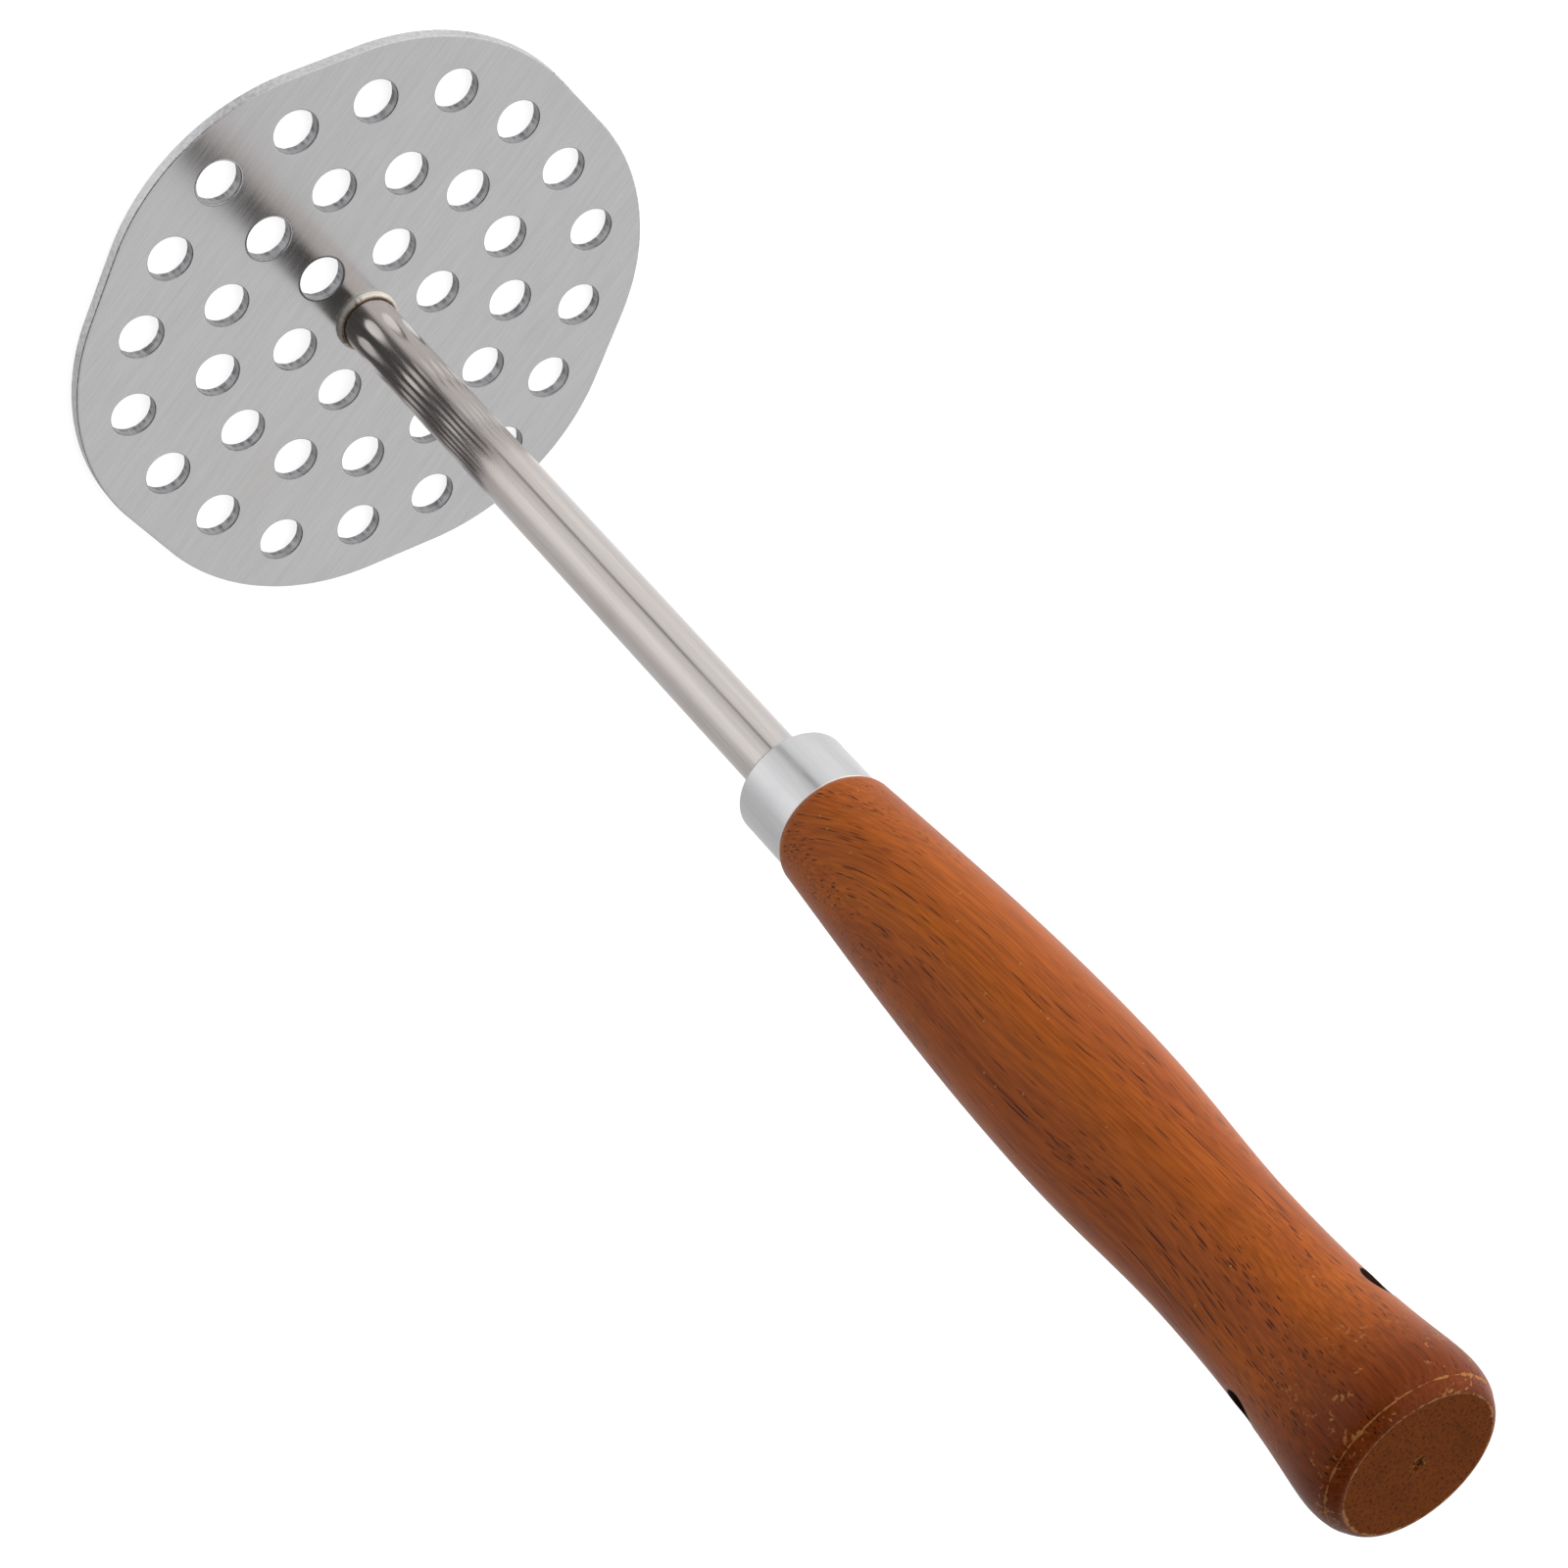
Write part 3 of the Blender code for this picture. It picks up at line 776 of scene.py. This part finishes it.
def make_drill():
    """A solid round bar along X, where the hanging hole goes."""
    reach = BULB_RADIUS + DRILL_PAST
    outline = [(HANG_HOLE_RADIUS, -reach), (HANG_HOLE_RADIUS, reach)]
    mesh = turned("drill", outline, HANG_HOLE_STEPS, close=False)
    bm = bmesh.new()
    bm.from_mesh(mesh)
    bmesh.ops.holes_fill(bm, edges=[edge for edge in bm.edges if edge.is_boundary], sides=0)
    bmesh.ops.recalc_face_normals(bm, faces=bm.faces)
    bm.to_mesh(mesh)
    bm.free()
    drill = bpy.data.objects.new("drill", mesh)
    bpy.context.scene.collection.objects.link(drill)
    place = Matrix.Translation((0.0, -HANG_HOLE_OFF_CENTRE, BUTT - HANG_HOLE_FROM_BUTT))
    drill.matrix_world = place @ Matrix.Rotation(math.pi / 2, 4, "Y")
    return drill


def sand_mouths(mesh):
    """Rounds the edges of the hanging hole's two mouths."""
    bm = bmesh.new()
    bm.from_mesh(mesh)
    axis = Vector((0.0, -HANG_HOLE_OFF_CENTRE, BUTT - HANG_HOLE_FROM_BUTT))
    on_wall = {v for v in bm.verts if abs((v.co - axis).yz.length - HANG_HOLE_RADIUS) < 5 * CLOSE
               and abs(v.co.x) > 2 * TUBE_RADIUS}
    mouths = [edge for edge in bm.edges if on_wall.issuperset(edge.verts) and len(edge.link_faces) == 2
              and edge.calc_face_angle() > math.radians(40)]
    bmesh.ops.bevel(bm, geom=mouths, offset=HANG_HOLE_ROUND, segments=3, profile=0.5, affect="EDGES",
                    clamp_overlap=True)
    for face in bm.faces:
        face.smooth = True
    bm.to_mesh(mesh)
    bm.free()
    mesh.set_sharp_from_angle(angle=math.radians(40))


def drill_through(wood):
    """Cuts the hanging hole and sands its mouths."""
    drill = make_drill()
    cut = wood.modifiers.new("hanging hole", "BOOLEAN")
    cut.object = drill
    cut.solver = "EXACT"
    bpy.context.view_layer.update()
    cut_mesh = bpy.data.meshes.new_from_object(wood.evaluated_get(bpy.context.evaluated_depsgraph_get()))
    wood.modifiers.clear()
    bpy.data.objects.remove(drill)
    sand_mouths(cut_mesh)
    wood.data = cut_mesh


def make_wood_pores():
    """Vessels of the wood, long thin tubes along the grain. A cut along them shows dashes, a cut
    across them shows dots. They crowd together in bands."""
    group, given, result = make_group(
        "wood_pores",
        [("Place", "Vector", None), ("Width", "Float", 0.12), ("Crowding", "Float", 0.5)],
        [("Pores", "Float")],
    )
    place = given.outputs["Place"]
    wide = stretched(group, place, (260.0, 90.0, 14.0))
    bands = patchy(group, wide, 1.0, 2.0)
    crowded = spread(group, bands, 0.38, 0.62)
    reach = maths(group, "MULTIPLY", given.outputs["Width"],
                  maths(group, "ADD", given.outputs["Crowding"], crowded))
    edge = maths(group, "MULTIPLY", reach, 0.65)
    both = None
    for across, along in ((1500.0, 55.0), (2300.0, 95.0), (2000.0, 28.0)):
        fine = stretched(group, place, (across, across, along))
        cells = add_node(group, "TexVoronoi", {"Vector": fine, "Scale": 1.0, "Randomness": 1.0})
        chance = add_node(group, "SeparateColor", {0: cells.outputs["Color"]}).outputs[1]
        shown = maths(group, "LESS_THAN", chance, maths(group, "ADD", 0.4, crowded))
        pore = add_node(group, "MapRange", {"Value": cells.outputs["Distance"], 1: reach, 2: edge})
        pore = maths(group, "MULTIPLY", pore.outputs[0], shown)
        both = maths(group, "MAXIMUM", both, pore) if both else pore
    group.links.new(both, result.inputs["Pores"])
    return group


def make_pore_ends():
    """The same vessels where the saw has cut straight across them: dark dots of mixed size."""
    group, given, result = make_group(
        "pore_ends", [("Place", "Vector", None), ("Size", "Float", 0.2)], [("Dots", "Float")])
    cells = add_node(group, "TexVoronoi", {"Vector": given.outputs["Place"], "Scale": 1150.0},
                     voronoi_dimensions="2D")
    chance = add_node(group, "SeparateColor", {0: cells.outputs["Color"]}).outputs[0]
    reach = maths(group, "MULTIPLY", given.outputs["Size"], maths(group, "ADD", chance, 0.35))
    edge = maths(group, "MULTIPLY", reach, 0.5)
    dots = add_node(group, "MapRange", {"Value": cells.outputs["Distance"], 1: reach, 2: edge})
    group.links.new(dots.outputs[0], result.inputs["Dots"])
    return group


def make_worn_edge():
    """Where the stain is rubbed off along a turned edge: a broken line round a given circle."""
    group, given, result = make_group(
        "worn_edge",
        [("Place", "Vector", None), ("Radius", "Float", 0.01), ("Height", "Float", 0.0),
         ("Width", "Float", 0.0003)],
        [("Worn", "Float")],
    )
    place = given.outputs["Place"]
    height = add_node(group, "SeparateXYZ", {0: place}).outputs["Z"]
    aside = maths(group, "SUBTRACT", from_axis(group, place), given.outputs["Radius"])
    above = maths(group, "SUBTRACT", height, given.outputs["Height"])
    rag = patchy(group, place, 1700.0, 3.0)
    patch = patchy(group, place, 240.0, 2.0)
    reach = maths(group, "MULTIPLY", given.outputs["Width"],
                  spread(group, patch, 0.40, 0.62, 0.45, 1.6))
    near = maths(group, "DIVIDE", span(group, aside, above), reach)
    line = spread(group, maths(group, "ADD", near, maths(group, "MULTIPLY", rag, 3.4)),
                  2.35, 1.95)
    group.links.new(line, result.inputs["Worn"])
    return group


wood_pores = make_wood_pores()
pore_ends = make_pore_ends()
worn_edge = make_worn_edge()


def grain_place(tree):
    """The place in the board. The grain leans across the handle near the shoulder, and wanders."""
    place = object_place(tree)
    parts = add_node(tree, "SeparateXYZ", {0: place})
    up = parts.outputs["Z"]
    lean = spread(tree, up, SHOULDER + 60.0 * MM, SHOULDER - 10.0 * MM, 0.02, 0.34)
    shift = maths(tree, "MULTIPLY", maths(tree, "SUBTRACT", up, SHOULDER + 40.0 * MM), lean)
    slow = stretched(tree, place, (24.0, 24.0, 14.0))
    wander = add_node(tree, "TexNoise", {"Vector": slow, "Scale": 1.0, "Detail": 1.0}).outputs["Color"]
    offset = add_node(tree, "VectorMath", {0: wander, 1: (0.012, 0.012, 0.0)}, operation="MULTIPLY")
    moved = add_node(tree, "VectorMath", {0: place, 1: offset.outputs[0]}, operation="ADD").outputs[0]
    slide = add_node(tree, "CombineXYZ", {0: shift, 1: 0.0, 2: 0.0}).outputs[0]
    return add_node(tree, "VectorMath", {0: moved, 1: slide}, operation="ADD").outputs[0]


def wood_colour(tree, place, dark, middle, light):
    """Growth bands and fine fibres in three tones."""
    wide = stretched(tree, place, (110.0, 50.0, 6.0))
    bands = add_node(tree, "TexNoise", {"Vector": wide, "Scale": 1.0, "Detail": 7.0,
                                        "Roughness": 0.6}).outputs[0]
    thin = stretched(tree, place, (2600.0, 2600.0, 120.0))
    fibres = patchy(tree, thin, 1.0, 2.0)
    tone = blend_colour(tree, spread(tree, bands, 0.32, 0.5), dark, middle)
    tone = blend_colour(tree, spread(tree, bands, 0.5, 0.68), tone, light)
    shade = blend_colour(tree, spread(tree, fibres, 0.25, 0.75), (0.74, 0.71, 0.68), (1.16, 1.13, 1.10))
    return blend_colour(tree, 1.0, tone, shade, "MULTIPLY"), fibres


def rubbed_places(tree):
    """Where use has rubbed the stain off: the two turned edges, and flecks near the butt."""
    place = object_place(tree)
    band_edge = use_group(tree, worn_edge, Place=place, Radius=DISC_RADIUS + BAND_WIDTH,
                          Height=BUTT - BAND_LENGTH, Width=BAND_WEAR)["Worn"]
    disc_edge = use_group(tree, worn_edge, Place=place, Radius=DISC_RADIUS, Height=BUTT,
                          Width=DISC_WEAR)["Worn"]
    flecks = patchy(tree, place, 1500.0, 3.0)
    patches = patchy(tree, place, 210.0, 2.0)
    rubs = maths(tree, "MULTIPLY", spread(tree, flecks, 0.56, 0.62), spread(tree, patches, 0.57, 0.64))
    near_butt = spread(tree, height_up(tree), BUTT - 26.0 * MM, BUTT - 4.0 * MM)
    edges = maths(tree, "MAXIMUM", band_edge, disc_edge)
    return maths(tree, "MAXIMUM", edges, maths(tree, "MULTIPLY", rubs, near_butt))


def inside_hanging_hole(tree):
    """1 on the wall of the hanging hole, fading out over its sanded mouths. It marks where the hole is
    painted dark as painted shade.
    """
    parts = add_node(tree, "SeparateXYZ", {0: object_place(tree)})
    sideways = maths(tree, "ADD", parts.outputs["Y"], HANG_HOLE_OFF_CENTRE)
    upward = maths(tree, "SUBTRACT", parts.outputs["Z"], BUTT - HANG_HOLE_FROM_BUTT)
    away = span(tree, sideways, upward)
    return spread(tree, away, HANG_HOLE_RADIUS + HANG_HOLE_ROUND, HANG_HOLE_RADIUS + 0.02 * MM)


def varnished_wood():
    """Red-brown stain under a satin varnish, with dark pores, light specks and rubbed edges."""
    finish, tree, shader = new_finish("stained_hardwood", (0.33, 0.10, 0.03), 0.0, 0.36)
    tone, fibres = wood_colour(tree, grain_place(tree), (0.32, 0.072, 0.014), (0.41, 0.098, 0.012),
                               (0.50, 0.130, 0.008))
    pores = use_group(tree, wood_pores, Place=grain_place(tree), Width=0.16, Crowding=0.45)["Pores"]
    tone = tint(tree, tone, pores, 0.9, (0.050, 0.010, 0.004))
    specks = use_group(tree, stray_marks, Place=object_place(tree), Marks_per_Metre=420.0,
                       Share=0.35, Size=0.16)["Marks"]
    tone = tint(tree, tone, specks, 0.55, (0.55, 0.27, 0.09))
    # Darker towards the butt, over its last 24 mm.
    darker_towards_butt = spread(tree, height_up(tree), BUTT - 24.0 * MM, BUTT - 3.0 * MM)
    darker = blend_colour(tree, darker_towards_butt, (1.0, 1.0, 1.0), (0.46, 0.37, 0.33))
    tone = blend_colour(tree, 1.0, tone, darker, "MULTIPLY")
    worn = rubbed_places(tree)
    tone = tint(tree, tone, worn, 0.55, (0.56, 0.26, 0.085))
    # Painted shade: the wall of the hanging hole is painted nearly black.
    painted_hole_shade = maths(tree, "MULTIPLY", inside_hanging_hole(tree), 0.93)
    tone = blend_colour(tree, painted_hole_shade, tone, (0.020, 0.006, 0.003))
    tree.links.new(tone, shader.inputs["Base Color"])
    shader.inputs["Specular IOR Level"].default_value = 0.09
    shader.inputs["Coat Weight"].default_value = 0.05
    shader.inputs["Coat Roughness"].default_value = 0.25
    gloss = spread(tree, fibres, 0.3, 0.7, 0.30, 0.42)
    dull = maths(tree, "ADD", gloss, maths(tree, "MULTIPLY", worn, 0.2))
    tree.links.new(dull, shader.inputs["Roughness"])
    relief = maths(tree, "SUBTRACT", maths(tree, "MULTIPLY", fibres, 0.25), pores)
    bump(tree, shader, relief, 0.35, 0.08 * MM)
    return finish


def bare_end_grain():
    """The sawn and sanded butt: dull brown, with the pores cut across."""
    finish, tree, shader = new_finish("end_grain", (0.24, 0.062, 0.015), 0.0, 0.8)
    tone, fibres = wood_colour(tree, grain_place(tree), (0.162, 0.042, 0.007), (0.195, 0.050, 0.008),
                               (0.230, 0.061, 0.010))
    place = object_place(tree)
    dots = use_group(tree, pore_ends, Place=place, Size=0.26)["Dots"]
    tone = tint(tree, tone, dots, 0.6, (0.035, 0.012, 0.006))
    disc_edge = use_group(tree, worn_edge, Place=place, Radius=DISC_RADIUS, Height=BUTT,
                          Width=DISC_WEAR)["Worn"]
    feeds = {0: place, 1: (0.0, 0.0, BUTT)}
    away = add_node(tree, "VectorMath", feeds, operation="DISTANCE").outputs["Value"]
    crumbs = patchy(tree, place, 1800.0, 3.0)
    around = maths(tree, "MULTIPLY", spread(tree, away, 2.0 * MM, 0.6 * MM),
                   spread(tree, crumbs, 0.5, 0.62))
    worn = maths(tree, "MAXIMUM", disc_edge, around)
    tone = tint(tree, tone, worn, 0.55, (0.52, 0.29, 0.13))
    # Painted shade: the lathe-centre pit is painted nearly black, out to a ragged edge.
    ragged = maths(tree, "ADD", away, maths(tree, "MULTIPLY", crumbs, 1.2 * MM))
    painted_pit_shade = spread(tree, ragged, 1.4 * MM, 1.1 * MM)
    tone = tint(tree, tone, painted_pit_shade, 0.85, (0.035, 0.014, 0.007))
    tree.links.new(tone, shader.inputs["Base Color"])
    shader.inputs["Specular IOR Level"].default_value = 0.05
    tree.links.new(spread(tree, fibres, 0.3, 0.7, 0.7, 0.9), shader.inputs["Roughness"])
    relief = maths(tree, "SUBTRACT", maths(tree, "MULTIPLY", fibres, 0.3), dots)
    bump(tree, shader, relief, 0.4, 0.08 * MM)
    return finish


handle = add_piece("turned_handle", build_handle(), varnished_wood(), bare_end_grain())
drill_through(handle)
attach(handle, "root")
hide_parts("handle")


# ---- Studio --------------------------------------------------------------------------------------
# The masher stands on a white table in a white studio. The walls are bright panels with a narrow
# gap, and the room above and behind the camera is dark. One soft lamp stands at the masher's side.
TABLE_SIZE = 4.0
TABLE_GLOW = 0.82
CAMERA_AIM = Vector((0.001, 0.0, 0.1399))
CAMERA_DISTANCE = 0.6754
CAMERA_ELEVATION = math.radians(39.72)
CAMERA_ROLL = math.radians(137.48)
CAMERA_LENS = 103.22
CAMERA_SENSOR = 36.0


def build_table():
    """A flat top that glows evenly, so that it stays plain white and throws no light on the masher."""
    mesh = bpy.data.meshes.new("table_top")
    half = TABLE_SIZE / 2
    corners = [(-half, -half, 0.0), (half, -half, 0.0), (half, half, 0.0), (-half, half, 0.0)]
    mesh.from_pydata(corners, [], [(0, 1, 2, 3)])
    white, tree, shader = new_finish("white_table", (0.5, 0.5, 0.5), 0.0, 0.9)
    shader.inputs["Emission Color"].default_value = (1.0, 1.0, 1.0, 1.0)
    shader.inputs["Emission Strength"].default_value = TABLE_GLOW
    table = add_piece("table_top", mesh, white)
    table.visible_glossy = False
    table.visible_diffuse = False
    table.visible_shadow = False
    return table


build_table()


def tone_ramp(tree, share, tones):
    """A smooth run of greys. tones gives (azimuth in degrees, brightness), from -180 to 180."""
    ramp = add_node(tree, "ValToRGB", {0: share})
    ramp.color_ramp.interpolation = "EASE"
    elements = ramp.color_ramp.elements
    while len(elements) > 1:
        elements.remove(elements[0])
    elements[0].position = 1.0
    for index, (azimuth, brightness) in enumerate(tones):
        place = (azimuth + 180.0) / 360.0
        stop = elements[-1] if index == len(tones) - 1 else elements.new(place)
        stop.position = place
        stop.color = (brightness, brightness, brightness, 1.0)
    return ramp.outputs[0]


def light_studio():
    """White surroundings. Azimuth is counted from -Y, where the camera stands, towards -X."""
    world = bpy.data.worlds.new("studio")
    world.use_nodes = True
    tree = world.node_tree
    sky = tree.nodes["Background"]
    direction = add_node(tree, "TexCoord").outputs["Generated"]
    parts = add_node(tree, "SeparateXYZ", {0: direction})
    towards_camera = maths(tree, "MULTIPLY", parts.outputs["Y"], -1.0)
    aside = maths(tree, "MULTIPLY", parts.outputs["X"], -1.0)
    azimuth = maths(tree, "ARCTAN2", aside, towards_camera)
    share = maths(tree, "ADD", maths(tree, "DIVIDE", azimuth, 2 * math.pi), 0.5)
    below = tone_ramp(tree, share, [
        (-180.0, 0.80), (-140.0, 0.62), (-95.0, 0.60), (-72.0, 0.66), (-42.0, 1.02), (-26.0, 1.08),
        (0.0, 0.90), (22.0, 0.76), (26.0, 0.32), (31.0, 0.32), (35.0, 0.90), (84.0, 1.05),
        (100.0, 0.92), (180.0, 1.02),
    ])
    above = tone_ramp(tree, share, [
        (-180.0, 0.84), (-142.0, 0.84), (-124.0, 0.13), (24.0, 0.10), (29.0, 1.10), (60.0, 1.20),
        (110.0, 1.15), (150.0, 0.84), (180.0, 0.84),
    ])
    upward = spread(tree, parts.outputs["Z"], -0.06, 0.06)
    tone = blend_colour(tree, upward, below, above)
    seen = add_node(tree, "LightPath").outputs["Is Camera Ray"]
    tree.links.new(blend_colour(tree, seen, tone, (1.0, 1.0, 1.0)), sky.inputs["Color"])
    bpy.context.scene.world = world


def add_softbox(name, place, aim, size, power):
    """A square of soft light that isn't seen itself, nor mirrored in the metal."""
    lamp = bpy.data.lights.new(name, "AREA")
    lamp.shape = "SQUARE"
    lamp.size = size
    lamp.energy = power
    softbox = bpy.data.objects.new(name, lamp)
    softbox.location = place
    softbox.rotation_euler = (Vector(aim) - Vector(place)).to_track_quat("-Z", "Y").to_euler()
    softbox.visible_camera = False
    softbox.visible_glossy = False
    bpy.context.scene.collection.objects.link(softbox)


def place_camera():
    """Looks down at the masher from its -Y side, rolled so that the handle runs to a lower corner."""
    camera = bpy.data.objects.new("camera", bpy.data.cameras.new("camera"))
    camera.data.lens = CAMERA_LENS
    camera.data.sensor_width = CAMERA_SENSOR
    back = Vector((0.0, -math.cos(CAMERA_ELEVATION), math.sin(CAMERA_ELEVATION)))
    stand = Matrix.Translation(CAMERA_AIM + back * CAMERA_DISTANCE)
    level = (-back).to_track_quat("-Z", "Y").to_matrix().to_4x4()
    camera.matrix_world = stand @ level @ Matrix.Rotation(CAMERA_ROLL, 4, "Z")
    bpy.context.scene.collection.objects.link(camera)
    return camera


light_studio()
add_softbox("softbox_side", place=(-0.95, 0.1, 0.25), aim=(0.0, 0.0, 0.12), size=0.7, power=5.0)
bpy.context.scene.camera = place_camera()
bpy.context.scene.view_settings.view_transform = "Standard"
